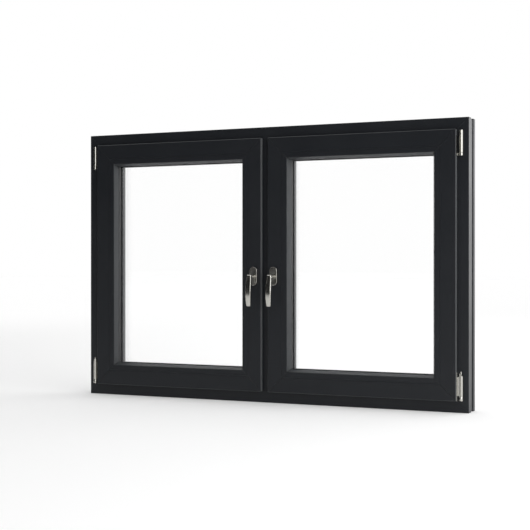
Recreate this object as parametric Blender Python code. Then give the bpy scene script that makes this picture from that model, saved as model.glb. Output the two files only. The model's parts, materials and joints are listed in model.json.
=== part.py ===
"""Two-sash PVC window in dark grey, with lever handles and corner hinges.

Metres. +X is to the right for someone in the room, +Y points out of the room, +Z is up.
The sill stands on z = 0, and the middle of the frame's bearing land is at x = 0, y = 0.

A section is a list of points (inset, depth, corner radius). Inset runs from the member's outer edge
towards the opening. Depth runs from the frame's room-side face towards the outside, so that what
stands proud of that face, into the room, has a negative depth.
"""
import math

import bmesh
import bpy
from mathutils import Matrix

# Fits
JOINT_GAP = 0.0003
OVERRUN = 0.002

# Frame
FRAME_WIDTH = 1.500
FRAME_HEIGHT = 1.000
FRAME_DEPTH = 0.082
FRAME_FACE = 0.048
FRAME_LEG = 0.070
FRAME_LEG_THICKNESS = 0.020
FRAME_LEG_SPLAY = 0.003
BEARING_LAND = 0.031
LAND_GROOVE_WIDTH = 0.030
LAND_GROOVE_DEPTH = 0.003
MULLION_SIGHT = 0.026

# Edges of the profiles
FACE_RADIUS = 0.003
EDGE_RADIUS = 0.001
SEAM_RADIUS = 0.0005

# Sash
SASH_PROUD = 0.017
SASH_OVERLAP = 0.008
SASH_FACE = 0.056
FLANGE_WIDTH = 0.020
SEAL_GAP = 0.003
BACK_SEAL_GAP = 0.002
SASH_LEG_REACH = 0.028
SASH_LEG_TIP = 0.014
SASH_LEG_SPLAY = 0.003
HARDWARE_GROOVE_WIDTH = 0.016
HARDWARE_GROOVE_DEPTH = 0.005
HARDWARE_GROOVE_AXIS = 0.013

# Glazing bead
BEAD_FACE = 0.019
BEAD_REACH = 0.0275
BEAD_DEPTH = 0.021
BEAD_LIP = 0.002
BEAD_RADIUS = 0.002
CLIP_DEPTH = 0.003
CLIP_WIDTH = 0.005
CLIP_SETBACK = 0.011

# Glass unit and its gaskets
PANE_THICKNESS = 0.004
PANE_SPACE = 0.016
GLASS_EDGE_GAP = 0.005
SPACER_BAR = 0.007
SPACER_SIGHT = 0.002
GLAZING_GASKET = 0.003
GLAZING_GASKET_BAR = 0.010
GASKET_SIGHT = 0.0005

# Sash seals
SEAL_SETBACK = 0.002
SEAL_BAR = 0.0055
BACK_SEAL_BAR = 0.005

# Handle
HANDLE_SETBACK = 0.0265
HANDLE_HEIGHT = 0.459
ROSETTE_WIDTH = 0.029
ROSETTE_HEIGHT = 0.067
ROSETTE_THICKNESS = 0.012
ROSETTE_RADIUS = 0.005
NECK_DIAMETER = 0.0105
NECK_LENGTH = 0.029
NECK_TURN = math.radians(30)
NECK_SQUARENESS = 2.0
ELBOW_RADIUS = 0.010
LEVER_DROP = 0.106
LEVER_CREST = 0.002
LEVER_WIDTH = 0.0175
LEVER_BELLY_WIDTH = 0.0205
LEVER_END_WIDTH = 0.0155
LEVER_THICKNESS = 0.011
LEVER_END_THICKNESS = 0.010
LEVER_END_CHAMFER = 0.001
LEVER_SQUARENESS = 5.0
LEVER_CORNER_SQUARENESS = 6.0
LEVER_LEAN = math.radians(18)
LEVER_RETURN = math.radians(14)

# Hinges
HINGE_INSET = 0.025
HINGE_PROUD = 0.0072
BARREL_DIAMETER = 0.0135
BARREL_CHAMFER = 0.001
CAP_LENGTH = 0.012
CAP_GROOVE_WIDTH = 0.001
CAP_GROOVE_DEPTH = 0.0007
PIN_DIAMETER = 0.0056
LEAF_THICKNESS = 0.002
LEAF_MARGIN = 0.002
WEB_THICKNESS = 0.003
BASE_WIDTH = 0.012
BOTTOM_HINGE_FOOT = 0.015
BOTTOM_HINGE_BARREL = 0.079
BOTTOM_HINGE_PIN_TIP = 0.007
BOTTOM_HINGE_LEAF = 0.097
FORK_DIAMETER = 0.005
TOP_HINGE_EYE = 0.010
TOP_HINGE_BARREL = 0.077
TOP_HINGE_LEAF = 0.069
TOP_HINGE_DROP = 0.004

# Fineness of the round shapes
CORNER_STEPS = 4
ROUND_STEPS = 32
NECK_STEPS = 4
ELBOW_STEPS = 8
BLADE_STEPS = 12

# What follows from the sizes above
FRONT_Y = -BEARING_LAND / 2
FRAME_REBATE = FRAME_DEPTH - FRAME_LEG_THICKNESS
SASH_INSET = FRAME_FACE - SASH_OVERLAP
SASH_WIDTH = (FRAME_WIDTH - MULLION_SIGHT) / 2 - SASH_INSET
SASH_HEIGHT = FRAME_HEIGHT - 2 * SASH_INSET
SASH_BACK = FRAME_REBATE - BACK_SEAL_GAP
BEAD_BACK = BEAD_DEPTH - SASH_PROUD
PANE_FRONT = BEAD_BACK + GLAZING_GASKET
GLASS_BACK = PANE_FRONT + 2 * PANE_THICKNESS + PANE_SPACE
SASH_LEG_FACE = GLASS_BACK + GLAZING_GASKET
SASH_SIGHT = SASH_FACE + SASH_LEG_REACH
BEAD_SIGHT = SASH_FACE + BEAD_REACH
CLIP_START = CLIP_SETBACK - SASH_PROUD

SIDES = {"left": -1, "right": 1}


def clear_scene():
    for thing in list(bpy.data.objects):
        bpy.data.objects.remove(thing, do_unlink=True)


def finish(name, colour, roughness, metallic=0.0, transmission=0.0):
    """A Principled material, made once."""
    material = bpy.data.materials.get(name)
    if material is None:
        material = bpy.data.materials.new(name)
        material.use_nodes = True
        shader = material.node_tree.nodes["Principled BSDF"]
        shader.inputs["Base Color"].default_value = (*colour, 1.0)
        shader.inputs["Roughness"].default_value = roughness
        shader.inputs["Metallic"].default_value = metallic
        shader.inputs["Transmission Weight"].default_value = transmission
        material.diffuse_color = (*colour, 1.0)
    return material


def dark_foil():
    return finish("dark_grey_foil", (0.020, 0.022, 0.025), 0.45)


def black_rubber():
    return finish("black_rubber", (0.008, 0.008, 0.009), 0.7)


def clear_glass():
    return finish("clear_glass", (0.9, 0.95, 0.93), 0.02, transmission=1.0)


def satin_nickel():
    return finish("satin_nickel", (0.62, 0.60, 0.56), 0.32, metallic=1.0)


def spacer_metal():
    return finish("spacer_aluminium", (0.45, 0.46, 0.47), 0.45, metallic=1.0)


def rounded(corners):
    """The outline with its corners rounded: each corner is (a, b, radius)."""
    outline = []
    for index, (a, b, radius) in enumerate(corners):
        if not radius:
            outline.append((a, b))
            continue
        before = corners[index - 1]
        after = corners[(index + 1) % len(corners)]
        towards = [math.atan2(other[1] - b, other[0] - a) for other in (before, after)]
        spread = (towards[1] - towards[0]) % math.tau
        turn = 1 if spread < math.pi else -1
        opening = spread if turn > 0 else math.tau - spread
        bisector = towards[0] + turn * opening / 2
        reach = radius / math.sin(opening / 2)
        centre = (a + reach * math.cos(bisector), b + reach * math.sin(bisector))
        start = towards[0] - turn * math.pi / 2
        sweep = -turn * (math.pi - opening)
        for step in range(CORNER_STEPS + 1):
            angle = start + sweep * step / CORNER_STEPS
            outline.append((centre[0] + radius * math.cos(angle), centre[1] + radius * math.sin(angle)))
    return outline


def mesh_from(bm, name, smooth_angle=math.radians(35)):
    bmesh.ops.recalc_face_normals(bm, faces=bm.faces)
    mesh = bpy.data.meshes.new(name)
    bm.to_mesh(mesh)
    bm.free()
    mesh.shade_smooth()
    mesh.set_sharp_from_angle(angle=smooth_angle)
    return mesh


def skin(bm, loops, closed=False):
    """Faces between loops of equally many points, with the first and last loop capped or joined."""
    rings = [[bm.verts.new(point) for point in loop] for loop in loops]
    count = len(rings[0])
    pairs = list(zip(rings, rings[1:]))
    if closed:
        pairs.append((rings[-1], rings[0]))
    else:
        bm.faces.new(rings[0])
        bm.faces.new(reversed(rings[-1]))
    for first, second in pairs:
        for k in range(count):
            after = (k + 1) % count
            bm.faces.new((first[k], first[after], second[after], second[k]))


def loft(name, loops, closed=False):
    bm = bmesh.new()
    skin(bm, loops, closed)
    return mesh_from(bm, name)


def mitred_bar(name, outline, length):
    """A bar along X with the outline's inset along +Z, its ends cut at 45 degrees."""
    relief = JOINT_GAP / math.sqrt(2)
    bm = bmesh.new()
    start = bm.faces.new([
        bm.verts.new((-length / 2 + inset + relief, depth, inset)) for inset, depth in outline])
    grown = bmesh.ops.extrude_face_region(bm, geom=[start])
    for item in grown["geom"]:
        if isinstance(item, bmesh.types.BMVert):
            item.co.x = -item.co.x
    return mesh_from(bm, name)


def ring(name, outline, width, height):
    """The outline carried round a rectangle that stands on the local origin."""
    corners = ((-1, 0), (1, 0), (1, 1), (-1, 1))
    loops = []
    for across, up in corners:
        loops.append([(across * (width / 2 - inset), depth, up * (height - 2 * inset) + inset)
                      for inset, depth in outline])
    return loft(name, loops, closed=True)


def plate(name, width, height, inset, front, thickness):
    """A flat sheet inside a rectangle that stands on the local origin, set in by inset."""
    half = width / 2 - inset
    loops = []
    for depth in (front, front + thickness):
        loops.append([(-half, depth, inset), (half, depth, inset),
                      (half, depth, height - inset), (-half, depth, height - inset)])
    return loft(name, loops)


def box_mesh(name, low, high):
    bm = bmesh.new()
    bmesh.ops.create_cube(bm, size=1)
    size = [b - a for a, b in zip(low, high)]
    middle = [(a + b) / 2 for a, b in zip(low, high)]
    bmesh.ops.transform(bm, verts=bm.verts, matrix=Matrix.Translation(middle) @ Matrix.Diagonal((*size, 1)))
    return mesh_from(bm, name)


def turned(name, profile, closed=False):
    """A body turned about Z: the profile is a list of (radius, height)."""
    loops = []
    for radius, height in profile:
        loops.append([(radius * math.cos(math.tau * k / ROUND_STEPS),
                       radius * math.sin(math.tau * k / ROUND_STEPS), height)
                      for k in range(ROUND_STEPS)])
    return loft(name, loops, closed)


def piece(name, mesh, material, parent=None, location=(0, 0, 0), turn_y=0.0):
    made = bpy.data.objects.new(name, mesh)
    bpy.context.scene.collection.objects.link(made)
    made.location = location
    made.rotation_euler = (0, turn_y, 0)
    made.parent = parent
    if material is not None and not mesh.materials:
        mesh.materials.append(material)
    return made


def axis_empty(name, location, parent=None):
    empty = bpy.data.objects.new(name, None)
    bpy.context.scene.collection.objects.link(empty)
    empty.location = location
    empty.parent = parent
    return empty


def combine(target, operation, mesh, location=(0, 0, 0), turn=(0, 0, 0)):
    """Joins a shape to the target, or cuts it out, with an exact Boolean."""
    tool = bpy.data.objects.new(f"{target.name}_{mesh.name}", mesh)
    bpy.context.scene.collection.objects.link(tool)
    tool.location = location
    tool.rotation_euler = turn
    tool.parent = target
    tool.hide_render = True
    tool.display_type = "WIRE"
    modifier = target.modifiers.new(mesh.name, "BOOLEAN")
    modifier.operation = operation
    modifier.solver = "EXACT"
    modifier.object = tool


def four_bars(prefix, names, outline, width, height, material, parent):
    """Bottom, top, left and right members of a rectangle that stands on the parent's origin."""
    places = {
        "bottom": ((0, 0, 0), 0.0, width),
        "top": ((0, 0, height), math.pi, width),
        "left": ((-width / 2, 0, height / 2), math.pi / 2, height),
        "right": ((width / 2, 0, height / 2), -math.pi / 2, height),
    }
    for place, (location, turn_y, length) in places.items():
        name = prefix + names[place]
        piece(name, mitred_bar(name, outline, length), material, parent, location, turn_y)


def frame_outline():
    groove_end = BEARING_LAND + LAND_GROOVE_WIDTH
    return rounded([
        (0, 0, EDGE_RADIUS),
        (FRAME_FACE, 0, EDGE_RADIUS),
        (FRAME_FACE, FRAME_REBATE, 0),
        (FRAME_LEG, FRAME_REBATE, EDGE_RADIUS),
        (FRAME_LEG - FRAME_LEG_SPLAY, FRAME_DEPTH, FACE_RADIUS),
        (0, FRAME_DEPTH, EDGE_RADIUS),
        (0, groove_end, SEAM_RADIUS),
        (LAND_GROOVE_DEPTH, groove_end, 0),
        (LAND_GROOVE_DEPTH, BEARING_LAND, 0),
        (0, BEARING_LAND, SEAM_RADIUS),
    ])


def frame(parent):
    names = {"bottom": "sill", "top": "head", "left": "left_jamb", "right": "right_jamb"}
    four_bars("frame_", names, frame_outline(), FRAME_WIDTH, FRAME_HEIGHT, dark_foil(), parent)


def mullion_outline():
    stem = MULLION_SIGHT / 2 + SASH_OVERLAP
    bar = stem + FRAME_LEG - FRAME_FACE
    right = [
        (stem, 0, EDGE_RADIUS),
        (stem, FRAME_REBATE, 0),
        (bar, FRAME_REBATE, EDGE_RADIUS),
        (bar - FRAME_LEG_SPLAY, FRAME_DEPTH, FACE_RADIUS),
    ]
    left = [(-across, depth, radius) for across, depth, radius in reversed(right)]
    return rounded(right + left)


def coping_outline():
    """The frame member's section as the mullion's end is milled to it, with the joint gap."""
    splay_past = FRAME_LEG_SPLAY * (OVERRUN + JOINT_GAP) / FRAME_LEG_THICKNESS
    return [
        (-OVERRUN, -OVERRUN),
        (FRAME_FACE + JOINT_GAP, -OVERRUN),
        (FRAME_FACE + JOINT_GAP, FRAME_REBATE - JOINT_GAP),
        (FRAME_LEG + JOINT_GAP, FRAME_REBATE - JOINT_GAP),
        (FRAME_LEG + JOINT_GAP, FRAME_REBATE),
        (FRAME_LEG - FRAME_LEG_SPLAY - splay_past + JOINT_GAP, FRAME_DEPTH + OVERRUN),
        (-OVERRUN, FRAME_DEPTH + OVERRUN),
    ]


def mullion(parent):
    outline = mullion_outline()
    loops = [[(across, depth, height) for across, depth in outline] for height in (0, FRAME_HEIGHT)]
    post = piece("mullion", loft("mullion", loops), dark_foil(), parent)
    reach = MULLION_SIGHT / 2 + SASH_OVERLAP + FRAME_LEG - FRAME_FACE + OVERRUN
    coping = loft("coping", [[(across, depth, inset) for inset, depth in coping_outline()]
                             for across in (-reach, reach)])
    combine(post, "DIFFERENCE", coping)
    combine(post, "DIFFERENCE", coping.copy(), (0, 0, FRAME_HEIGHT), (0, math.pi, 0))


def sash_outline():
    groove_middle = HARDWARE_GROOVE_AXIS - SEAL_GAP
    groove_floor = FLANGE_WIDTH + HARDWARE_GROOVE_DEPTH
    groove_low = groove_middle - HARDWARE_GROOVE_WIDTH / 2
    groove_high = groove_middle + HARDWARE_GROOVE_WIDTH / 2
    return rounded([
        (0, -SASH_PROUD, FACE_RADIUS),
        (SASH_FACE, -SASH_PROUD, SEAM_RADIUS),
        (SASH_FACE, CLIP_START, 0),
        (SASH_FACE - CLIP_DEPTH, CLIP_START, 0),
        (SASH_FACE - CLIP_DEPTH, CLIP_START + CLIP_WIDTH, 0),
        (SASH_FACE, CLIP_START + CLIP_WIDTH, 0),
        (SASH_FACE, SASH_LEG_FACE, 0),
        (SASH_SIGHT, SASH_LEG_FACE, EDGE_RADIUS),
        (SASH_SIGHT, SASH_LEG_FACE + SASH_LEG_TIP, EDGE_RADIUS),
        (SASH_SIGHT - SASH_LEG_SPLAY, SASH_BACK, FACE_RADIUS),
        (FLANGE_WIDTH, SASH_BACK, EDGE_RADIUS),
        (FLANGE_WIDTH, groove_high, 0),
        (groove_floor, groove_high, 0),
        (groove_floor, groove_low, 0),
        (FLANGE_WIDTH, groove_low, 0),
        (FLANGE_WIDTH, -SEAL_GAP, 0),
        (0, -SEAL_GAP, EDGE_RADIUS),
    ])


def bead_outline():
    seat = SASH_FACE + JOINT_GAP
    foot = SASH_FACE - CLIP_DEPTH + JOINT_GAP
    foot_start = CLIP_START + JOINT_GAP
    foot_end = CLIP_START + CLIP_WIDTH - JOINT_GAP
    return rounded([
        (seat, -SASH_PROUD, SEAM_RADIUS),
        (SASH_FACE + BEAD_FACE, -SASH_PROUD, BEAD_RADIUS),
        (BEAD_SIGHT, BEAD_BACK - BEAD_LIP, 0),
        (BEAD_SIGHT, BEAD_BACK, 0),
        (seat, BEAD_BACK, 0),
        (seat, foot_end, 0),
        (foot, foot_end, 0),
        (foot, foot_start, 0),
        (seat, foot_start, 0),
    ])


def strip_outline(low, high, front, back):
    """A rubber strip or bar between two insets and two depths, a joint gap clear of both faces."""
    return [(low, front + JOINT_GAP), (high, front + JOINT_GAP),
            (high, back - JOINT_GAP), (low, back - JOINT_GAP)]


def sash(side_name, parent):
    side = SIDES[side_name]
    centre = side * (MULLION_SIGHT + SASH_WIDTH) / 2
    carrier = axis_empty(f"{side_name}_sash", (centre, 0, SASH_INSET), parent)
    hinge_side, lock_side = ("left", "right") if side < 0 else ("right", "left")
    names = {"bottom": "bottom_rail", "top": "top_rail", hinge_side: "hinge_stile", lock_side: "lock_stile"}
    four_bars(f"{side_name}_sash_", names, sash_outline(), SASH_WIDTH, SASH_HEIGHT, dark_foil(), carrier)
    names = {"bottom": "bottom", "top": "top", hinge_side: "hinge_side", lock_side: "lock_side"}
    four_bars(f"{side_name}_bead_", names, bead_outline(), SASH_WIDTH, SASH_HEIGHT, dark_foil(), carrier)
    glass_unit(side_name, carrier)
    seals(side_name, carrier)
    return carrier


def glass_unit(side_name, carrier):
    edge = SASH_FACE + GLASS_EDGE_GAP
    inner_back = PANE_FRONT + PANE_THICKNESS
    outer_front = inner_back + PANE_SPACE
    for name, front in (("inner_pane", PANE_FRONT), ("outer_pane", outer_front)):
        full = f"{side_name}_{name}"
        piece(full, plate(full, SASH_WIDTH, SASH_HEIGHT, edge, front, PANE_THICKNESS), clear_glass(), carrier)
    sight = BEAD_SIGHT - SPACER_SIGHT
    bar = strip_outline(sight - SPACER_BAR, sight, inner_back, outer_front)
    full = f"{side_name}_glass_spacer"
    piece(full, ring(full, bar, SASH_WIDTH, SASH_HEIGHT), spacer_metal(), carrier)


def seals(side_name, carrier):
    strips = {
        "inner_glazing_gasket": (BEAD_SIGHT + GASKET_SIGHT, GLAZING_GASKET_BAR, BEAD_BACK, PANE_FRONT),
        "outer_glazing_gasket": (SASH_SIGHT + GASKET_SIGHT, GLAZING_GASKET_BAR, GLASS_BACK, SASH_LEG_FACE),
        "room_side_seal": (SEAL_SETBACK + SEAL_BAR, SEAL_BAR, -SEAL_GAP, 0),
        "outside_seal": (FRAME_LEG - SASH_INSET, BACK_SEAL_BAR, SASH_BACK, FRAME_REBATE),
    }
    for name, (sight, bar, front, back) in strips.items():
        full = f"{side_name}_{name}"
        outline = strip_outline(sight - bar, sight, front, back)
        piece(full, ring(full, outline, SASH_WIDTH, SASH_HEIGHT), black_rubber(), carrier)


def rosette_mesh(name):
    """A round-ended plate with a rounded front edge, lying on the local XZ plane."""
    straight = (ROSETTE_HEIGHT - ROSETTE_WIDTH) / 2
    half_steps = ROUND_STEPS // 2

    def stadium(depth, inset):
        radius = ROSETTE_WIDTH / 2 - inset
        points = []
        for up in (1, -1):
            for step in range(half_steps + 1):
                angle = math.pi * step / half_steps + (0 if up > 0 else math.pi)
                points.append((radius * math.cos(angle), -depth, up * straight + radius * math.sin(angle)))
        return points

    loops = [stadium(JOINT_GAP, 0)]
    for step in range(CORNER_STEPS + 1):
        angle = math.pi / 2 * step / CORNER_STEPS
        loops.append(stadium(ROSETTE_THICKNESS - ROSETTE_RADIUS * (1 - math.sin(angle)),
                             ROSETTE_RADIUS * (1 - math.cos(angle))))
    return loft(name, loops)


def lever_section(out, up, tilt, width, thickness, squareness):
    """One section of the lever: a rounded rectangle across the path that heads along tilt."""
    points = []
    for k in range(ROUND_STEPS):
        angle = math.tau * k / ROUND_STEPS
        c, s = math.cos(angle), math.sin(angle)
        across = math.copysign(abs(c) ** (2 / squareness), c) * width / 2
        over = math.copysign(abs(s) ** (2 / squareness), s) * thickness / 2
        points.append((across, -(out + over * math.sin(tilt)), up + over * math.cos(tilt)))
    return points


def crest_reach(tilt):
    """How far the lever's outer side stands from the elbow's centre, in the direction of tilt."""
    out = math.sin(tilt) / (ELBOW_RADIUS + LEVER_THICKNESS)
    up = math.cos(tilt) / (ELBOW_RADIUS + NECK_DIAMETER + LEVER_CREST)
    power = LEVER_CORNER_SQUARENESS
    return (out ** power + up ** power) ** (-1 / power)


def blade_width(share):
    """The grip's width: it swells from its top to its belly and narrows to its end."""
    top = LEVER_WIDTH * (1 - share) * (1 - 2 * share)
    belly = LEVER_BELLY_WIDTH * 4 * share * (1 - share)
    end = LEVER_END_WIDTH * share * (2 * share - 1)
    return top + belly + end


def lever_mesh(name):
    """Round neck that bends down into a blade, whose crest stands above the neck, and a bowed grip."""
    pivot_out, pivot_up = NECK_LENGTH, -(NECK_DIAMETER / 2 + ELBOW_RADIUS)
    elbow_end = math.pi / 2 - LEVER_LEAN

    def elbow_section(tilt, reach, width, squareness):
        middle = (reach + ELBOW_RADIUS) / 2
        return lever_section(pivot_out + middle * math.sin(tilt), pivot_up + middle * math.cos(tilt),
                             tilt, width, reach - ELBOW_RADIUS, squareness)

    loops = [lever_section(ROSETTE_THICKNESS + JOINT_GAP, 0, 0, NECK_DIAMETER, NECK_DIAMETER, NECK_SQUARENESS)]
    for step in range(NECK_STEPS + 1):
        tilt = NECK_TURN * step / NECK_STEPS
        loops.append(elbow_section(tilt, ELBOW_RADIUS + NECK_DIAMETER, NECK_DIAMETER, NECK_SQUARENESS))
    for step in range(1, ELBOW_STEPS + 1):
        tilt = NECK_TURN + (elbow_end - NECK_TURN) * step / ELBOW_STEPS
        loops.append(elbow_section(tilt, crest_reach(tilt), LEVER_WIDTH, LEVER_SQUARENESS))
    start_thickness = crest_reach(elbow_end) - ELBOW_RADIUS
    start_out = pivot_out + (ELBOW_RADIUS + start_thickness / 2) * math.sin(elbow_end)
    start_up = pivot_up + (ELBOW_RADIUS + start_thickness / 2) * math.cos(elbow_end)
    bow_radius = (LEVER_DROP + start_up) / (math.sin(LEVER_LEAN) + math.sin(LEVER_RETURN))
    for step in range(1, BLADE_STEPS + 1):
        share = step / BLADE_STEPS
        tilt = elbow_end + (LEVER_LEAN + LEVER_RETURN) * share
        out = start_out + bow_radius * (math.sin(tilt) - math.sin(elbow_end))
        up = start_up + bow_radius * (math.cos(tilt) - math.cos(elbow_end))
        thickness = start_thickness + (LEVER_END_THICKNESS - start_thickness) * share
        loops.append(lever_section(out, up, tilt, blade_width(share), thickness, LEVER_SQUARENESS))
    end_out = out + LEVER_END_CHAMFER * math.cos(tilt)
    end_up = up - LEVER_END_CHAMFER * math.sin(tilt)
    loops.append(lever_section(end_out, end_up, tilt, LEVER_END_WIDTH - 2 * LEVER_END_CHAMFER,
                               LEVER_END_THICKNESS - 2 * LEVER_END_CHAMFER, LEVER_SQUARENESS))
    return loft(name, loops)


def handle(side_name, parent):
    across = SIDES[side_name] * (MULLION_SIGHT / 2 + HANDLE_SETBACK)
    spindle = axis_empty(f"{side_name}_handle_axis", (across, -SASH_PROUD, HANDLE_HEIGHT), parent)
    for name, shape in (("rosette", rosette_mesh), ("lever", lever_mesh)):
        full = f"{side_name}_handle_{name}"
        piece(full, shape(full), satin_nickel(), spindle)


def barrel_profile(radius, bore, low, high, cap=False):
    """A tube's closed section with chamfered outer ends and, if asked for, the grooves of two end caps."""
    outer = [(radius - BARREL_CHAMFER, low), (radius, low + BARREL_CHAMFER)]
    if cap:
        half = CAP_GROOVE_WIDTH / 2
        for middle in (low + CAP_LENGTH, high - CAP_LENGTH):
            outer += [(radius, middle - half), (radius - CAP_GROOVE_DEPTH, middle),
                      (radius, middle + half)]
    outer += [(radius, high - BARREL_CHAMFER), (radius - BARREL_CHAMFER, high)]
    if not bore:
        return outer
    return [(bore, low)] + outer + [(bore, high)]


def leaf_span():
    """Where a leaf on the sash edge lies, measured from the hinge's axis towards the sash."""
    edge = SASH_INSET - HINGE_INSET - JOINT_GAP
    return edge - LEAF_THICKNESS, edge


def leaf_box(name, towards, low, high):
    """A flat leaf along the edge of the sash flange."""
    near, far = leaf_span()
    front = HINGE_PROUD - SASH_PROUD + LEAF_MARGIN
    back = HINGE_PROUD - SEAL_GAP - LEAF_MARGIN
    across = sorted((towards * near, towards * far))
    return box_mesh(name, (across[0], front, low), (across[1], back, high))


def web_box(name, towards, low, high):
    """The web that joins a barrel or an eye to its leaf."""
    near = leaf_span()[0] + LEAF_THICKNESS / 2
    across = sorted((towards * PIN_DIAMETER, towards * near))
    return box_mesh(name, (across[0], -WEB_THICKNESS / 2, low), (across[1], WEB_THICKNESS / 2, high))


def bottom_hinge(side_name, parent):
    side = SIDES[side_name]
    axis = axis_empty(f"{side_name}_bottom_hinge_axis",
                      (side * (FRAME_WIDTH / 2 - HINGE_INSET), -HINGE_PROUD, SASH_INSET), parent)
    radius, pin = BARREL_DIAMETER / 2, PIN_DIAMETER / 2
    top = BOTTOM_HINGE_FOOT + BOTTOM_HINGE_BARREL
    name = f"{side_name}_bottom_hinge_bearing"
    bearing = piece(name, turned(name, [
        (radius - BARREL_CHAMFER, 0), (radius, BARREL_CHAMFER),
        (radius, BOTTOM_HINGE_FOOT), (pin, BOTTOM_HINGE_FOOT),
        (pin, top + BOTTOM_HINGE_PIN_TIP - pin), (pin / 3, top + BOTTOM_HINGE_PIN_TIP)]), satin_nickel(), axis)
    combine(bearing, "UNION", box_mesh(
        "base", (-BASE_WIDTH / 2, 0, BARREL_CHAMFER),
        (BASE_WIDTH / 2, HINGE_PROUD - JOINT_GAP, BOTTOM_HINGE_FOOT - BARREL_CHAMFER)))
    fork = turned("fork", [(FORK_DIAMETER / 2, -radius - OVERRUN), (FORK_DIAMETER / 2, radius + OVERRUN)])
    combine(bearing, "DIFFERENCE", fork, turn=(math.pi / 2, 0, 0))
    name = f"{side_name}_bottom_hinge_band"
    low = BOTTOM_HINGE_FOOT + JOINT_GAP
    band = piece(name, turned(name, barrel_profile(radius, pin + JOINT_GAP, low, top), closed=True),
                 satin_nickel(), axis)
    combine(band, "UNION", web_box("web", -side, low + BARREL_CHAMFER, top - BARREL_CHAMFER))
    combine(band, "UNION", leaf_box("leaf", -side, 0, BOTTOM_HINGE_LEAF))


def top_hinge(side_name, parent):
    side = SIDES[side_name]
    base = FRAME_HEIGHT - SASH_INSET - TOP_HINGE_DROP - TOP_HINGE_BARREL - TOP_HINGE_EYE
    axis = axis_empty(f"{side_name}_top_hinge_axis",
                      (side * (FRAME_WIDTH / 2 - HINGE_INSET), -HINGE_PROUD, base), parent)
    radius = BARREL_DIAMETER / 2
    low, high = TOP_HINGE_EYE + JOINT_GAP, TOP_HINGE_EYE + TOP_HINGE_BARREL
    name = f"{side_name}_top_hinge_bearing"
    bearing = piece(name, turned(name, barrel_profile(radius, 0, low, high, cap=True)), satin_nickel(), axis)
    combine(bearing, "UNION", box_mesh(
        "base", (-BASE_WIDTH / 2, 0, low + BARREL_CHAMFER),
        (BASE_WIDTH / 2, HINGE_PROUD - JOINT_GAP, high - BARREL_CHAMFER)))
    name = f"{side_name}_top_hinge_arm"
    arm = piece(name, turned(name, barrel_profile(radius, 0, 0, TOP_HINGE_EYE)), satin_nickel(), axis)
    combine(arm, "UNION", web_box("web", -side, BARREL_CHAMFER, TOP_HINGE_EYE - BARREL_CHAMFER))
    combine(arm, "UNION", leaf_box("leaf", -side, 0, TOP_HINGE_LEAF))


def window():
    clear_scene()
    root = axis_empty("window", (0, FRONT_Y, 0))
    frame(root)
    mullion(root)
    for side_name in SIDES:
        sash(side_name, root)
        handle(side_name, root)
        bottom_hinge(side_name, root)
        top_hinge(side_name, root)


window()
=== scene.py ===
import json
import math

import bmesh
import bpy
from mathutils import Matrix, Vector

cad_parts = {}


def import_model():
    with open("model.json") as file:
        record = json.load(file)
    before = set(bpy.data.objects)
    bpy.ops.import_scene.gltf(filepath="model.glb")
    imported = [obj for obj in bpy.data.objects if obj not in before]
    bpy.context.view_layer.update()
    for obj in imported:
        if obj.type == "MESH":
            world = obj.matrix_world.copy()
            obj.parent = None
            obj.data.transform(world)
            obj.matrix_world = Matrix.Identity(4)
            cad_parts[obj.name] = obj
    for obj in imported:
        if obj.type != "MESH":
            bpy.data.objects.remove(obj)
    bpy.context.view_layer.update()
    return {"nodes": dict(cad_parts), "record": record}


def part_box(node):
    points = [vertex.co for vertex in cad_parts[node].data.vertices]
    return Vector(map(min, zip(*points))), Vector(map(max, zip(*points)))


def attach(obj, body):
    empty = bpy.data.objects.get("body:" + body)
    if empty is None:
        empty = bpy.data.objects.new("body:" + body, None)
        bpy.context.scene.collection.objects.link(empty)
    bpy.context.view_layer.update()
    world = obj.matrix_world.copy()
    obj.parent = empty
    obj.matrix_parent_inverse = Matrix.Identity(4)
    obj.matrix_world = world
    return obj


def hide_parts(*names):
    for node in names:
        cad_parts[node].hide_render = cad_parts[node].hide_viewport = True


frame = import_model()

# Sizes that the modelled pieces share with the solids, in metres
FRAME_WIDTH, FRAME_HEIGHT, FRAME_DEPTH = 1.500, 1.000, 0.082
FRAME_FACE, FRAME_REBATE, FRAME_LEG = 0.048, 0.062, 0.070
LAND_START, LAND_END, LAND_GROOVE = 0.031, 0.061, 0.003
MULLION_SIGHT = 0.026
SASH_INSET, SASH_PROUD, SASH_FACE, FLANGE = 0.040, 0.017, 0.056, 0.020
SASH_BACK, SASH_SIGHT = 0.060, 0.084
LEG_FACE = 0.034
BEAD_FACE, BEAD_SIGHT, BEAD_BACK = 0.075, 0.0835, 0.004
PANE_FRONT, PANE_THICKNESS, PANE_SPACE = 0.007, 0.004, 0.016
FLANGE_BACK = -0.003
CLIP_FRONT, CLIP_BACK, CLIP_DEPTH = -0.006, -0.001, 0.003
GEAR_FRONT, GEAR_BACK, GEAR_DEPTH = 0.002, 0.018, 0.005
HINGE_AXIS, HINGE_PROUD, BARREL_RADIUS = 0.725, 0.0072, 0.00675
TOP_COVER, BOTTOM_COVER = (0.8793, 0.956), (0.0553, 0.134)
JOINT_GAP = 0.0003

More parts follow.
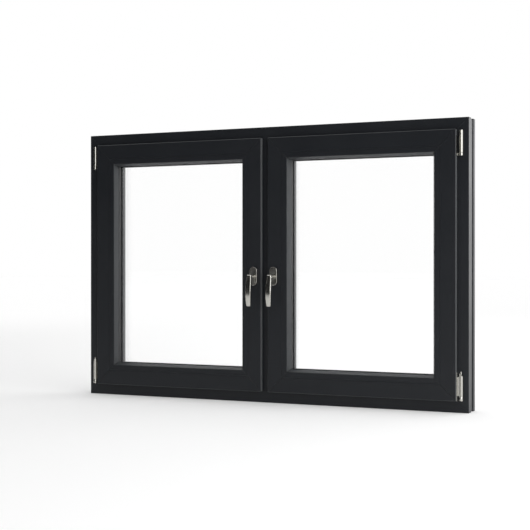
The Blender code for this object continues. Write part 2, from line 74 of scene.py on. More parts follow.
# Sizes of what only the modelled pieces have, in metres
EDGE_ROUND, FINE_ROUND, FLANGE_ROUND = 0.001, 0.0005, 0.003
REAR_TAPER, REAR_ROUND, LEG_CREST = 0.003, 0.003, 0.014
BEAD_ROUND, BEAD_TIP, BEAD_TIP_ROUND = 0.002, 0.002, 0.0004
MITRE_SPARE = 0.01
SEAM_WIDTH, SEAM_RELIEF, SEAM_INSET = 0.0012, 0.0005, 0.0004
# Width of the painted highlight along the side face of the sash's flange.
PAINTED_LIGHT_WIDTH = 0.0012
ROSETTE_ROUND = 0.0014
COVER_VALLEY, COVER_SETBACK, COVER_ROUND = 0.0028, 0.0012, 0.0012
CAP_LENGTH, RING_HALF_WIDTH, RING_DEPTH = 0.012, 0.0004, 0.0006
LEAF_THICKNESS, LEAF_SETBACK, LEAF_ROUND = 0.002, 0.0038, 0.0004
WEB_FRONT, WEB_BACK = 0.0048, 0.0064
WEB_REACH, WEB_FOOT, WEB_HEAD = 0.002, 0.002, 0.012

# What follows from them
FLANGE_LAP = FRAME_FACE - SASH_INSET
ROOM_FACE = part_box("frame_sill")[0].y
SASH_WIDTH = (FRAME_WIDTH - MULLION_SIGHT) / 2 - SASH_INSET
SASH_HEIGHT = FRAME_HEIGHT - 2 * SASH_INSET
SASH_CENTRE = (MULLION_SIGHT + SASH_WIDTH) / 2
SIDES = {"left": -1, "right": 1}


class Value:
    """A number, colour or vector that comes out of a node, with the arithmetic a finish needs."""

    def __init__(self, finish, socket):
        self.finish = finish
        self.socket = socket

    def maths(self, operation, other):
        return self.finish.node("Math", {"operation": operation}, {0: self, 1: other})

    def __add__(self, other):
        return self.maths("ADD", other)

    def __mul__(self, other):
        return self.maths("MULTIPLY", other)

    def between(self, low, high, to_low=0.0, to_high=1.0):
        """This value carried smoothly from one range to another, and held at its ends."""
        return self.finish.node("MapRange", {"interpolation_type": "SMOOTHSTEP"}, {
            "Value": self, "From Min": low, "From Max": high, "To Min": to_low, "To Max": to_high})


class Finish:
    """A material under construction: one Principled shader and the nodes that feed it."""

    def __init__(self, name):
        self.material = bpy.data.materials.new(name)
        self.material.use_nodes = True
        self.tree = self.material.node_tree
        self.shader = self.tree.nodes["Principled BSDF"]

    def node(self, kind, settings=None, inputs=None, output=0):
        """Adds a node, sets it, feeds its inputs and gives back one of its outputs."""
        made = self.tree.nodes.new("ShaderNode" + kind)
        for name, value in (settings or {}).items():
            setattr(made, name, value)
        for name, value in (inputs or {}).items():
            self.feed(made.inputs[name], value)
        return Value(self, made.outputs[output])

    def feed(self, socket, value):
        """Links a value to a socket, or sets a plain number, vector or colour on it."""
        if isinstance(value, Value):
            self.tree.links.new(value.socket, socket)
        elif isinstance(value, tuple) and len(value) == 3 and len(socket.default_value) == 4:
            socket.default_value = (*value, 1.0)
        else:
            socket.default_value = value

    def surface(self, **sockets):
        """Feeds the shader's own sockets and gives back the material."""
        for name, value in sockets.items():
            self.feed(self.shader.inputs[name.replace("_", " ")], value)
        return self.material

    def place(self):
        """Object coordinates, which are the shared frame's own."""
        return self.node("TexCoord", output="Object")

    def stretched(self, scale):
        """Object coordinates drawn out along an axis, for marks that run one way."""
        return self.node("Mapping", {}, {"Vector": self.place(), "Scale": scale})

    def noise(self, place, scale, detail=2.0, roughness=0.5):
        inputs = {"Vector": place, "Scale": scale, "Detail": detail, "Roughness": roughness}
        return self.node("TexNoise", {}, inputs, output="Fac")

    def painted(self, name):
        """A value that the modelling left on the piece's own points."""
        return self.node("Attribute", {"attribute_name": name}, output="Fac")

    def blend(self, amount, low, high):
        """A colour between two colours."""
        return self.node("Mix", {"data_type": "RGBA"}, {0: amount, 6: low, 7: high}, output=2)

    def bump(self, height, depth):
        return self.node("Bump", {}, {"Height": height, "Distance": depth, "Strength": 1.0})


def dark_foil():
    """Satin film with a fine emboss, faint clouds and a cleaned weld line at each mitre; a painted
    highlight lightens the points marked rim.
    """
    finish = Finish("dark_foil")
    place = finish.place()
    cloud = finish.noise(place, 5.0, detail=3.0)
    grain = finish.noise(place, 1400.0, detail=3.0, roughness=0.6)
    seam = finish.painted("seam")
    rim = finish.painted("rim")
    film = finish.blend(cloud, (0.0114, 0.0130, 0.0160), (0.0148, 0.0164, 0.0195))
    # Painted highlight: where the rim mark is set, the film is blended to light grey in place of
    # the side light on those faces. The foil itself is one even colour there.
    with_painted_light = finish.blend(rim * grain.between(0.2, 0.8, 0.6, 1.0), film, (0.110, 0.116, 0.120))
    return finish.surface(
        Base_Color=finish.blend(seam, with_painted_light, (0.0165, 0.018, 0.0205)),
        Roughness=cloud.between(0.3, 0.7, 0.36, 0.42) + seam * 0.06 + grain * 0.04,
        Specular_IOR_Level=0.3,
        Normal=finish.bump(grain, 0.00003))


def black_rubber():
    """Matt extruded rubber with a faint bloom."""
    finish = Finish("black_rubber")
    place = finish.place()
    grain = finish.noise(place, 300.0)
    bloom = finish.noise(place, 12.0)
    return finish.surface(
        Base_Color=finish.blend(bloom, (0.005, 0.005, 0.006), (0.012, 0.012, 0.013)),
        Roughness=grain.between(0.0, 1.0, 0.55, 0.75),
        Normal=finish.bump(grain, 0.00005))


def float_glass():
    """Clear glass, nearly all see-through, as the white backdrop behind it shows."""
    finish = Finish("float_glass")
    return finish.surface(Base_Color=(0.985, 1.0, 0.995), Roughness=0.0, IOR=1.45,
                          Transmission_Weight=1.0, Alpha=0.06)


def spacer_bar():
    """Dull dark bar with rows of fine breathing holes."""
    finish = Finish("spacer_bar")
    place = finish.place()
    cloud = finish.noise(place, 200.0)
    dots = finish.node("TexVoronoi", {"distance": "CHEBYCHEV"},
                       {"Vector": place, "Scale": 260.0, "Randomness": 0.0}, output="Distance")
    hole = dots.between(0.12, 0.2, 1.0, 0.0)
    metal = finish.blend(cloud, (0.018, 0.019, 0.020), (0.028, 0.029, 0.030))
    return finish.surface(
        Base_Color=finish.blend(hole * 0.5, metal, (0.008, 0.008, 0.008)),
        Metallic=0.3,
        Roughness=cloud.between(0.2, 0.8, 0.5, 0.62))


def satin_nickel():
    """Fine satin metal, its brushing drawn along the height of the part."""
    finish = Finish("satin_nickel")
    brushing = finish.noise(finish.stretched((1.0, 1.0, 0.04)), 2600.0, detail=3.0)
    cloud = finish.noise(finish.place(), 35.0)
    return finish.surface(
        Base_Color=finish.blend(cloud, (0.50, 0.49, 0.455), (0.55, 0.54, 0.505)),
        Metallic=1.0,
        Roughness=cloud.between(0.3, 0.7, 0.14, 0.18) + brushing * 0.05,
        Normal=finish.bump(brushing, 0.000008))


FINISHES = {"profile": dark_foil(), "gasket": black_rubber(), "glass": float_glass(),
            "spacer": spacer_bar(), "hardware": satin_nickel()}


def begin(add, name, stretch=(1, 1, 1), **settings):
    """Adds a primitive at its size and place, and opens it for shaping."""
    bpy.ops.object.select_all(action="DESELECT")
    add(**settings)
    made = bpy.context.active_object
    made.scale = stretch
    made.name = name
    made.data.name = name
    bpy.ops.object.transform_apply(location=True, rotation=True, scale=True)
    bpy.ops.object.mode_set(mode="EDIT")
    return made


def block(name, x, y, z):
    """A box between two places on each axis."""
    sizes = [high - low for low, high in (x, y, z)]
    centre = [(high + low) / 2 for low, high in (x, y, z)]
    return begin(bpy.ops.mesh.primitive_cube_add, name, sizes, size=1, location=centre)


def pick(kind, test=None):
    """Selects only the points, edges or faces that pass a test of their place and direction."""
    bpy.ops.mesh.select_mode(type=kind)
    bpy.ops.mesh.select_all(action="DESELECT")
    mesh = bpy.context.edit_object.data
    shape = bmesh.from_edit_mesh(mesh)
    items = {"VERT": shape.verts, "EDGE": shape.edges, "FACE": shape.faces}[kind]
    for item in items:
        if test is None or test(item):
            item.select_set(True)
    shape.select_flush_mode()
    bmesh.update_edit_mesh(mesh)


def near(value, target):
    """Whether two lengths are the same to a hundredth of a millimetre."""
    return abs(value - target) < 1e-5


def middle(edge):
    """The point halfway along an edge."""
    return (edge.verts[0].co + edge.verts[1].co) / 2


def along(edge, axis):
    """Whether an edge runs along an axis, given by its number."""
    way = edge.verts[1].co - edge.verts[0].co
    return abs(way[axis]) > 0.9 * way.length


def cut(normal, place):
    """Parts every face along a plane."""
    pick("FACE")
    bpy.ops.mesh.bisect(plane_co=place, plane_no=normal)


def trim(normal, place):
    """Cuts away what lies past a plane, and closes the end."""
    pick("FACE")
    bpy.ops.mesh.bisect(plane_co=place, plane_no=normal, clear_outer=True, use_fill=True)


def pull(test, move):
    """Extrudes the faces that pass the test."""
    pick("FACE", test)
    bpy.ops.mesh.extrude_region_move(TRANSFORM_OT_translate={"value": move})


def slide(test, move):
    """Moves the points that pass the test."""
    pick("VERT", test)
    bpy.ops.transform.translate(value=move)


def ease(test, radius, segments):
    """Rounds the edges that pass the test."""
    pick("EDGE", test)
    bpy.ops.mesh.bevel(offset=radius, segments=segments, affect="EDGES", clamp_overlap=True)


def close(made, smooth_angle=32):
    """Leaves edit mode with faces outwards, rounds smooth and the flats between them flat."""
    pick("FACE")
    bpy.ops.mesh.normals_make_consistent(inside=False)
    bpy.ops.object.mode_set(mode="OBJECT")
    bpy.ops.object.shade_smooth_by_angle(angle=math.radians(smooth_angle))
    flats = made.modifiers.new("flats", "WEIGHTED_NORMAL")
    flats.keep_sharp = True
    bpy.ops.object.modifier_apply(modifier="flats")
    return made


def keep(piece, node, slot, body="window"):
    """Hides a node, and gives the piece that stands in its place the finish of the node's slot and
    the body that it rides on.
    """
    piece.data.materials.clear()
    piece.data.materials.append(FINISHES[slot])
    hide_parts(node)
    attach(piece, body)
    return piece


def copied(source, name):
    """A copy with its own mesh."""
    made = source.copy()
    made.data = source.data.copy()
    made.name = name
    made.data.name = name
    bpy.context.scene.collection.objects.link(made)
    return made


def settle(made, location, turn=(0, 0, 0)):
    """Puts a piece in its place, with that place in its mesh."""
    bpy.ops.object.select_all(action="DESELECT")
    made.select_set(True)
    bpy.context.view_layer.objects.active = made
    made.location = location
    made.rotation_euler = turn
    bpy.ops.object.transform_apply(location=True, rotation=True, scale=True)
    return made


def mitre(length):
    """Cuts both ends at 45 degrees and leaves a fine weld groove along each cut."""
    slant = math.sqrt(0.5)
    for way in (-1, 1):
        normal = Vector((way * slant, 0, slant))
        end = Vector((way * length / 2, 0, 0))
        cut(normal, end - normal * (SEAM_RELIEF + SEAM_WIDTH))
        trim(normal, end - normal * SEAM_RELIEF)
        pick("FACE", lambda face: face.normal.dot(normal) > 0.999 and
             abs((face.calc_center_median() - end).dot(normal) + SEAM_RELIEF) < 1e-4)
        bpy.ops.mesh.inset(thickness=SEAM_INSET, depth=SEAM_RELIEF - JOINT_GAP / 2)


def paint(made, length, with_painted_light=lambda point: False, painted_light_amount=1.0):
    """Marks the strips beside the mitres, where the weld was cleaned, and the faces that take a
    painted highlight (the rim mark).
    """
    slant = math.sqrt(0.5)
    seam = made.data.attributes.new("seam", "FLOAT", "POINT")
    rim = made.data.attributes.new("rim", "FLOAT", "POINT")
    for index, point in enumerate(made.data.vertices):
        distance = (length / 2 - abs(point.co.x) - point.co.z) * slant
        seam.data[index].value = 1.0 if distance < SEAM_WIDTH * 0.9 else 0.0
        rim.data[index].value = painted_light_amount if with_painted_light(point.co) else 0.0


def runs(depth, inset):
    """A test for the edge along the bar at one place of its section."""
    return lambda edge: (along(edge, 0) and near(middle(edge).y, depth)
                         and near(middle(edge).z, inset))


def side_face(inset, low, high):
    """A test for the faces on one side of the bar, between two depths."""
    return lambda face: (abs(face.normal.z) > 0.9 and near(face.calc_center_median().z, inset)
                         and low < face.calc_center_median().y < high)


def frame_bar(length):
    """The frame's section: a face block with a rear leg, and the groove in its wall side."""
    half = length / 2 + MITRE_SPARE
    made = block("frame_bar", (-half, half), (0, FRAME_DEPTH), (0, FRAME_FACE))
    cut((0, 1, 0), (0, FRAME_REBATE, 0))
    pull(side_face(FRAME_FACE, FRAME_REBATE, FRAME_DEPTH), (0, 0, FRAME_LEG - FRAME_FACE))
    slide(lambda point: near(point.co.z, FRAME_LEG) and near(point.co.y, FRAME_DEPTH),
          (0, 0, -REAR_TAPER))
    cut((0, 1, 0), (0, LAND_START, 0))
    cut((0, 1, 0), (0, LAND_END, 0))
    pull(side_face(0, LAND_START, LAND_END), (0, 0, LAND_GROOVE))
    ease(runs(0, 0), EDGE_ROUND, 3)
    ease(runs(0, FRAME_FACE), EDGE_ROUND, 3)
    ease(runs(FRAME_REBATE, FRAME_LEG), EDGE_ROUND, 3)
    ease(runs(FRAME_DEPTH, FRAME_LEG - REAR_TAPER), REAR_ROUND, 5)
    ease(runs(FRAME_DEPTH, 0), EDGE_ROUND, 3)
    ease(runs(LAND_START, 0), FINE_ROUND, 2)
    ease(runs(LAND_END, 0), FINE_ROUND, 2)
    mitre(length)
    close(made)
    paint(made, length)
    return made


def sash_bar(length):
    """The sash's section: a flange over the frame, a body with its gear groove, and a rear leg."""
    half = length / 2 + MITRE_SPARE
    made = block("sash_bar", (-half, half), (-SASH_PROUD, SASH_BACK), (FLANGE, SASH_FACE))
    for depth in (CLIP_FRONT, FLANGE_BACK, CLIP_BACK, GEAR_FRONT, GEAR_BACK, LEG_FACE):
        cut((0, 1, 0), (0, depth, 0))
    pull(side_face(FLANGE, -SASH_PROUD, FLANGE_BACK), (0, 0, -FLANGE))
    pull(side_face(FLANGE, GEAR_FRONT, GEAR_BACK), (0, 0, GEAR_DEPTH))
    pull(side_face(SASH_FACE, CLIP_FRONT, CLIP_BACK), (0, 0, -CLIP_DEPTH))
    pull(side_face(SASH_FACE, LEG_FACE, SASH_BACK), (0, 0, SASH_SIGHT - SASH_FACE))
    cut((0, 1, 0), (0, LEG_FACE + LEG_CREST, 0))
    slide(lambda point: near(point.co.z, SASH_SIGHT) and near(point.co.y, SASH_BACK),
          (0, 0, -REAR_TAPER))
    ease(runs(-SASH_PROUD, 0), FLANGE_ROUND, 6)
    ease(runs(-SASH_PROUD, SASH_FACE), FINE_ROUND, 2)
    ease(runs(FLANGE_BACK, 0), EDGE_ROUND, 3)
    ease(runs(LEG_FACE, SASH_SIGHT), EDGE_ROUND, 3)
    ease(runs(LEG_FACE + LEG_CREST, SASH_SIGHT), EDGE_ROUND, 3)
    ease(runs(SASH_BACK, SASH_SIGHT - REAR_TAPER), REAR_ROUND, 5)
    ease(runs(SASH_BACK, FLANGE), EDGE_ROUND, 3)
    mitre(length)
    close(made)
    # The flange's outer side faces are marked for a painted highlight, in place of the light that
    # falls on them from the side.
    paint(made, length, lambda point: point.z < PAINTED_LIGHT_WIDTH and point.y < FLANGE_BACK + 1e-5)
    return made


def bead_bar(length):
    """The glazing bead: a flat front, a slope down to the glass, and the clip foot."""
    seat = SASH_FACE + JOINT_GAP
    half = length / 2 + MITRE_SPARE
    made = block("bead_bar", (-half, half), (-SASH_PROUD, BEAD_BACK), (seat, BEAD_FACE))
    pull(side_face(BEAD_FACE, -SASH_PROUD, BEAD_BACK), (0, 0, BEAD_SIGHT - BEAD_FACE))
    slide(lambda point: near(point.co.z, BEAD_SIGHT) and near(point.co.y, -SASH_PROUD),
          (0, SASH_PROUD + BEAD_BACK - BEAD_TIP, 0))
    cut((0, 1, 0), (0, CLIP_FRONT + JOINT_GAP, 0))
    cut((0, 1, 0), (0, CLIP_BACK - JOINT_GAP, 0))
    pull(side_face(seat, CLIP_FRONT, CLIP_BACK), (0, 0, -CLIP_DEPTH + JOINT_GAP))
    ease(runs(-SASH_PROUD, BEAD_FACE), BEAD_ROUND, 5)
    ease(runs(-SASH_PROUD, seat), FINE_ROUND, 2)
    ease(runs(BEAD_BACK - BEAD_TIP, BEAD_SIGHT), BEAD_TIP_ROUND, 2)
    mitre(length)
    close(made)
    # The bead's slope down to the glass is marked for a painted highlight at half strength, in
    # place of the light that falls on it.
    slope_start, slope_end = BEAD_FACE + 0.0008, BEAD_BACK - 0.001
    paint(made, length, lambda point: point.z > slope_start and point.y < slope_end, painted_light_amount=0.5)
    return made


def mullion_post():
    """The fixed post: its ends step round the head's and the sill's section."""
    stem = MULLION_SIGHT / 2 + FLANGE_LAP
    wing = stem + FRAME_LEG - FRAME_FACE
    front_end, rear_end = FRAME_FACE + JOINT_GAP, FRAME_LEG + JOINT_GAP
    step = FRAME_REBATE - JOINT_GAP
    half = FRAME_HEIGHT / 2
    made = block("mullion_post", (-stem, stem), (0, FRAME_DEPTH),
                 (rear_end, FRAME_HEIGHT - rear_end))
    cut((0, 1, 0), (0, step, 0))
    for way in (-1, 1):
        pull(lambda face: face.normal.z * way > 0.9 and face.calc_center_median().y < step,
             (0, 0, way * (rear_end - front_end)))
    cut((0, 1, 0), (0, FRAME_REBATE, 0))
    for way in (-1, 1):
        pull(lambda face: face.normal.x * way > 0.9 and face.calc_center_median().y > FRAME_REBATE,
             (way * (wing - stem), 0, 0))
        slide(lambda point: near(point.co.x, way * wing) and near(point.co.y, FRAME_DEPTH),
              (-way * REAR_TAPER, 0, 0))
        slide(lambda point: (near((point.co.z - half) * way, half - rear_end)
                             and near(point.co.y, FRAME_DEPTH)), (0, 0, way * REAR_TAPER))
    rounded = {(0.0, stem): EDGE_ROUND, (FRAME_REBATE, wing): EDGE_ROUND,
               (FRAME_DEPTH, wing - REAR_TAPER): REAR_ROUND}
    for (depth, across), radius in rounded.items():
        ease(lambda edge: (along(edge, 2) and near(middle(edge).y, depth)
                           and near(abs(middle(edge).x), across)), radius, 4)
    close(made)
    for word in ("seam", "rim"):
        made.data.attributes.new(word, "FLOAT", "POINT")
    return settle(made, (0, ROOM_FACE, 0))


def frame_rim(bars, names, centre, base, width, height):
    """Four copies of two bars, set round a rectangle: bottom, top, left and right."""
    level, upright = bars
    places = {
        "bottom": (level, (centre, ROOM_FACE, base), 0.0),
        "top": (level, (centre, ROOM_FACE, base + height), math.pi),
        "left": (upright, (centre - width / 2, ROOM_FACE, base + height / 2), math.pi / 2),
        "right": (upright, (centre + width / 2, ROOM_FACE, base + height / 2), -math.pi / 2),
    }
    for place, (bar, location, turn) in places.items():
        node = names[place]
        piece = copied(bar, node + "_bar")
        settle(piece, location, (0, turn, 0))
        keep(piece, node, "profile")


def profiles():
    """The frame, the mullion, the sashes and their beads, from two lengths of each section."""
    bars = frame_bar(FRAME_WIDTH), frame_bar(FRAME_HEIGHT)
    names = {"bottom": "frame_sill", "top": "frame_head",
             "left": "frame_left_jamb", "right": "frame_right_jamb"}
    frame_rim(bars, names, 0, 0, FRAME_WIDTH, FRAME_HEIGHT)
    patterns = list(bars)
    keep(mullion_post(), "mullion", "profile")
    for kind, make in (("sash", sash_bar), ("bead", bead_bar)):
        bars = make(SASH_WIDTH), make(SASH_HEIGHT)
        patterns += bars
        words = {"sash": ("bottom_rail", "top_rail", "hinge_stile", "lock_stile"),
                 "bead": ("bottom", "top", "hinge_side", "lock_side")}[kind]
        for side_name, side in SIDES.items():
            nodes = [f"{side_name}_{kind}_{word}" for word in words]
            left, right = (nodes[2], nodes[3]) if side < 0 else (nodes[3], nodes[2])
            names = {"bottom": nodes[0], "top": nodes[1], "left": left, "right": right}
            frame_rim(bars, names, side * SASH_CENTRE, SASH_INSET, SASH_WIDTH, SASH_HEIGHT)
    for pattern in patterns:
        bpy.data.objects.remove(pattern, do_unlink=True)


def strip_ring(name, sight, bar, front, back, lip):
    """A strip laid round the sash: a sheet, inset, opened, drawn out and rounded at its lips."""
    width, height = SASH_WIDTH - 2 * (sight - bar), SASH_HEIGHT - 2 * (sight - bar)
    made = begin(bpy.ops.mesh.primitive_plane_add, name, (width, height, 1), size=1,
                 location=(0, front, SASH_HEIGHT / 2), rotation=(math.pi / 2, 0, 0))
    pick("FACE")
    bpy.ops.mesh.inset(thickness=bar)
    centre = Vector((0, front, SASH_HEIGHT / 2))
    pick("FACE", lambda face: (face.calc_center_median() - centre).length < 1e-4)
    bpy.ops.mesh.delete(type="FACE")
    pick("FACE")
    bpy.ops.mesh.extrude_region_move(TRANSFORM_OT_translate={"value": (0, back - front, 0)})
    inner = SASH_WIDTH / 2 - sight

    def lips(edge):
        place = middle(edge)
        across = (near(abs(place.x), inner)
                  or near(abs(place.z - SASH_HEIGHT / 2), SASH_HEIGHT / 2 - sight))
        return across and not along(edge, 1) and edge.calc_length() > 0.1

    ease(lips, lip, 3)
    return close(made)


def strips():
    """Gaskets, seals and the bar between the panes, modelled once and copied to the other sash."""
    glass_back = PANE_FRONT + 2 * PANE_THICKNESS + PANE_SPACE
    spacer_front = PANE_FRONT + PANE_THICKNESS
    lip_reach, gasket_width, gasket_round = 0.0005, 0.010, 0.0008
    seal_sight, seal_width, seal_round = 0.0075, 0.0055, 0.0006
    stop_width, stop_round = 0.005, 0.0005
    spacer_setback, spacer_width, spacer_round = 0.002, 0.007, 0.0006
    # Each strip's inset from the sash's edge, its width, front, back and rounding, and its slot
    rings = {
        "inner_glazing_gasket": (BEAD_SIGHT + lip_reach, gasket_width, BEAD_BACK, PANE_FRONT,
                                 gasket_round, "gasket"),
        "outer_glazing_gasket": (SASH_SIGHT + lip_reach, gasket_width, glass_back, LEG_FACE,
                                 gasket_round, "gasket"),
        "room_side_seal": (seal_sight, seal_width, FLANGE_BACK, 0, seal_round, "gasket"),
        "outside_seal": (FRAME_LEG - SASH_INSET, stop_width, SASH_BACK, FRAME_REBATE,
                         stop_round, "gasket"),
        "glass_spacer": (BEAD_SIGHT - spacer_setback, spacer_width, spacer_front,
                         spacer_front + PANE_SPACE, spacer_round, "spacer"),
    }
    for kind, (sight, bar, front, back, lip, slot) in rings.items():
        pattern = strip_ring(kind, sight, bar, front + JOINT_GAP, back - JOINT_GAP, lip)
        for side_name, side in SIDES.items():
            piece = copied(pattern, f"{side_name}_{kind}_strip")
            settle(piece, (side * SASH_CENTRE, ROOM_FACE, SASH_INSET))
            keep(piece, f"{side_name}_{kind}", slot)
        bpy.data.objects.remove(pattern, do_unlink=True)


def merged_copy(node, name, body="window", refine=0):
    """A fitting with its node's own shape, which is already the real one, merged and smoothed."""
    made = copied(frame["nodes"][node], name)
    bpy.ops.object.select_all(action="DESELECT")
    made.select_set(True)
    bpy.context.view_layer.objects.active = made
    bpy.ops.object.mode_set(mode="EDIT")
    pick("VERT")
    bpy.ops.mesh.remove_doubles(threshold=0.00001)
    pick("FACE")
    bpy.ops.mesh.tris_convert_to_quads(face_threshold=math.radians(20),
                                       shape_threshold=math.radians(60))
    close(made, 38)
    if refine:
        smoothing = made.modifiers.new("smoothing", "SUBSURF")
        smoothing.levels = smoothing.render_levels = refine
        bpy.ops.object.modifier_apply(modifier="smoothing")
    return keep(made, node, "hardware", body)


def rosette(side_name):
    """A disc drawn out to a round-ended plate, its front edge rounded over."""
    low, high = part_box(f"{side_name}_handle_rosette")
    radius = (high.x - low.x) / 2
    straight = (high.z - low.z) / 2 - radius
    centre = (low + high) / 2
    made = begin(bpy.ops.mesh.primitive_cylinder_add, f"{side_name}_rosette_plate", vertices=64,
                 radius=radius, depth=high.y - low.y, location=centre, rotation=(math.pi / 2, 0, 0))
    for way in (-1, 1):
        slide(lambda point: (point.co.z - centre.z) * way > 1e-4, (0, 0, way * straight))
    ease(lambda edge: near(edge.verts[0].co.y, low.y) and near(edge.verts[1].co.y, low.y),
         ROSETTE_ROUND, 4)
    close(made, 40)
    return keep(made, f"{side_name}_handle_rosette", "hardware")


def cover(name, side, low, high, rings):
    """A hinge cover of two rounds side by side: a barrel pressed in along its front, and ringed."""
    y = ROOM_FACE - HINGE_PROUD
    x = side * HINGE_AXIS
    made = begin(bpy.ops.mesh.primitive_cylinder_add, name, vertices=48, radius=BARREL_RADIUS,
                 depth=high - low, location=(x, y, (low + high) / 2))
    slide(lambda point: abs(point.co.x - x) < 0.0005 and point.co.y < y, (0, COVER_VALLEY, 0))
    slide(lambda point: (point.co.x - x) * side > 0.0005 and point.co.y < y, (0, COVER_SETBACK, 0))
    for place in rings:
        cut((0, 0, 1), (0, 0, place - RING_HALF_WIDTH))
        cut((0, 0, 1), (0, 0, place + RING_HALF_WIDTH))
        pick("FACE", lambda face: (abs(face.normal.z) < 0.5
                                   and abs(face.calc_center_median().z - place) < 0.0003))
        bpy.ops.mesh.extrude_region_shrink_fatten(TRANSFORM_OT_shrink_fatten={"value": -RING_DEPTH})
    ease(lambda edge: near(middle(edge).z, low) or near(middle(edge).z, high), COVER_ROUND, 4)
    return made


def band(side_name, side):
    """The sash's half of the bottom hinge: a cover, a leaf on the sash's edge and a web between."""
    low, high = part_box(f"{side_name}_bottom_hinge_band")
    y = ROOM_FACE - HINGE_PROUD
    cover_low, cover_high = BOTTOM_COVER
    barrel = cover(f"{side_name}_bottom_hinge_cover", side, cover_low, cover_high, ())
    notch_start, notch_height, cap_zone = 0.002, 0.009, 0.004
    slide(lambda point: ((point.co.x - side * HINGE_AXIS) * side > notch_start
                         and point.co.z > cover_high - cap_zone), (0, 0, -notch_height))
    close(barrel, 30)
    leaf_edge = min(abs(low.x), abs(high.x))
    leaf_side = sorted((side * leaf_edge, side * (leaf_edge + LEAF_THICKNESS)))
    leaf = block("leaf", leaf_side, (low.y + LEAF_SETBACK, high.y), (low.z, high.z))
    ease(lambda edge: along(edge, 2), LEAF_ROUND, 2)
    close(leaf)
    web_side = sorted((side * (leaf_edge + LEAF_THICKNESS / 2), side * (HINGE_AXIS - WEB_REACH)))
    web = block("web", web_side, (y + WEB_FRONT, y + WEB_BACK),
                (cover_low + WEB_FOOT, cover_high - WEB_HEAD))
    ease(lambda edge: along(edge, 0), LEAF_ROUND, 2)
    close(web)
    bpy.ops.object.select_all(action="DESELECT")
    for item in (leaf, web, barrel):
        item.select_set(True)
    bpy.context.view_layer.objects.active = barrel
    bpy.ops.object.join()
    return barrel


def hinges():
    """Both corners of each sash: a modelled cover, and a foot with its node's own shape."""
    low, high = TOP_COVER
    for side_name, side in SIDES.items():
        piece = cover(f"{side_name}_top_hinge_cover", side, low, high,
                      (low + CAP_LENGTH, high - CAP_LENGTH))
        close(piece, 30)
        keep(piece, f"{side_name}_top_hinge_bearing", "hardware")
        merged_copy(f"{side_name}_top_hinge_arm", f"{side_name}_top_hinge_foot")
        merged_copy(f"{side_name}_bottom_hinge_bearing", f"{side_name}_bottom_hinge_foot")
        keep(band(side_name, side), f"{side_name}_bottom_hinge_band", "hardware")


def handles():
    """A fixed rosette and a lever that turns, once on each sash."""
    for side_name in SIDES:
        rosette(side_name)
        merged_copy(f"{side_name}_handle_lever", f"{side_name}_lever",
                    body=f"{side_name}_handle", refine=1)


def dress_frame():
    """Every node that stays takes the finish of its slot."""
    slots = {part["node"]: part["material_slot"] for part in frame["record"]["subparts"]}
    for name, node in frame["nodes"].items():
        node.data.materials.clear()
        node.data.materials.append(FINISHES[slots[name]])


def camera():
    """The photograph's view: from the room, to the window's right, level with its middle."""
    focal_pixels = 1188.0
    image_pixels = 530
    sensor = 36.0
    azimuth = math.radians(24.5)
    tilt_down = math.radians(0.16)
    eye = Vector((1.7849, -3.9428, 0.5115))
    lens = bpy.data.cameras.new("view")
    lens.sensor_width = sensor
    lens.lens = sensor * focal_pixels / image_pixels
    made = bpy.data.objects.new("view", lens)
    bpy.context.scene.collection.objects.link(made)
    made.location = eye
    made.rotation_euler = (math.pi / 2 - tilt_down, 0, azimuth)
    bpy.context.scene.camera = made


def world():
    """A plain white surround."""
    scene = bpy.context.scene
    scene.world = bpy.data.worlds.new("studio")
    scene.world.use_nodes = True
    background = scene.world.node_tree.nodes["Background"]
    background.inputs["Color"].default_value = (1, 1, 1, 1)
    background.inputs["Strength"].default_value = 1.0


def soft_lamp(name, width, height, energy, place):
    """A broad lamp turned to the window, which the camera doesn't see."""
    light = bpy.data.lights.new(name, "AREA")
    light.shape = "RECTANGLE"
    light.size = width
    light.size_y = height
    light.energy = energy
    made = bpy.data.objects.new(name, light)
    bpy.context.scene.collection.objects.link(made)
    made.location = place
    target = Vector((0.2, 0, 0.5))
    made.rotation_euler = (target - Vector(place)).to_track_quat("-Z", "Y").to_euler()
    made.visible_camera = False


def key_light():
    """To the window's right, a little above it and in front."""
    soft_lamp("key", 4.0, 4.0, 95, (4.2, -2.3, 2.4))


def rim_light():
    """Behind the window, to its right, where it catches every face turned that way."""
    soft_lamp("rim", 4.0, 3.0, 70, (3.4, 4.2, 1.7))


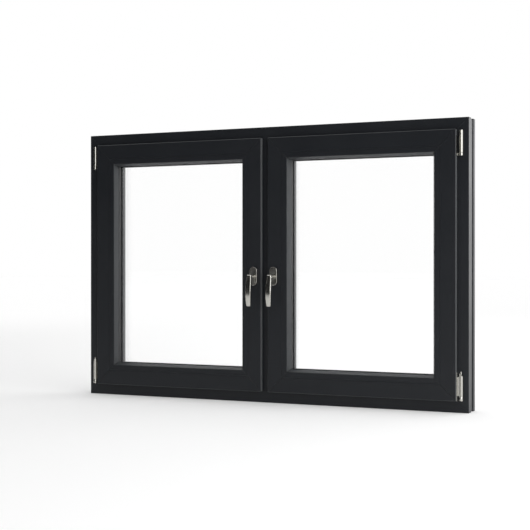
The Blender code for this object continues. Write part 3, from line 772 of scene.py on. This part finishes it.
def floor():
    """A pale floor, lifted a little for the camera so that it is white where nothing shades it."""
    lift = 0.13
    made = begin(bpy.ops.mesh.primitive_plane_add, "floor", size=60, location=(0, 0, -0.0005))
    bpy.ops.object.mode_set(mode="OBJECT")
    finish = Finish("pale_floor")
    finish.surface(Base_Color=(0.86, 0.86, 0.86), Roughness=0.9)
    tree = finish.tree
    path = finish.node("LightPath").socket.node
    camera_ray, glossy_ray, transmission_ray = (
        Value(finish, path.outputs[f"Is {kind} Ray"])
        for kind in ("Camera", "Glossy", "Transmission"))
    seen = camera_ray + glossy_ray + transmission_ray
    glow = tree.nodes.new("ShaderNodeEmission")
    tree.links.new((seen * lift).socket, glow.inputs["Strength"])
    both = tree.nodes.new("ShaderNodeAddShader")
    tree.links.new(finish.shader.outputs[0], both.inputs[0])
    tree.links.new(glow.outputs[0], both.inputs[1])
    tree.links.new(both.outputs[0], tree.nodes["Material Output"].inputs["Surface"])
    made.data.materials.append(finish.material)


def dark_card():
    """A dark card across the room, which the glossy fronts mirror."""
    made = begin(bpy.ops.mesh.primitive_plane_add, "dark_card", (8.0, 6.4, 1), size=1,
                 location=(-2.4, -5.5, 3.2), rotation=(math.pi / 2, 0, 0))
    bpy.ops.object.mode_set(mode="OBJECT")
    finish = Finish("dark_card")
    made.data.materials.append(finish.surface(Base_Color=(0.02, 0.02, 0.02), Roughness=1.0))
    made.visible_camera = False


def side_card():
    """A dark card to the window's left, which the turned-away sides of the fittings mirror."""
    made = begin(bpy.ops.mesh.primitive_plane_add, "side_card", (8.0, 4.6, 1), size=1,
                 location=(-5.4, -1.6, 2.3), rotation=(math.pi / 2, 0, math.pi / 2))
    bpy.ops.object.mode_set(mode="OBJECT")
    finish = Finish("side_card")
    made.data.materials.append(finish.surface(Base_Color=(0.05, 0.05, 0.05), Roughness=1.0))
    made.visible_camera = False
    made.visible_transmission = False


camera()
dress_frame()
profiles()
strips()
handles()
hinges()
world()
key_light()
rim_light()
floor()
dark_card()
side_card()
bpy.context.scene.view_settings.view_transform = "Standard"
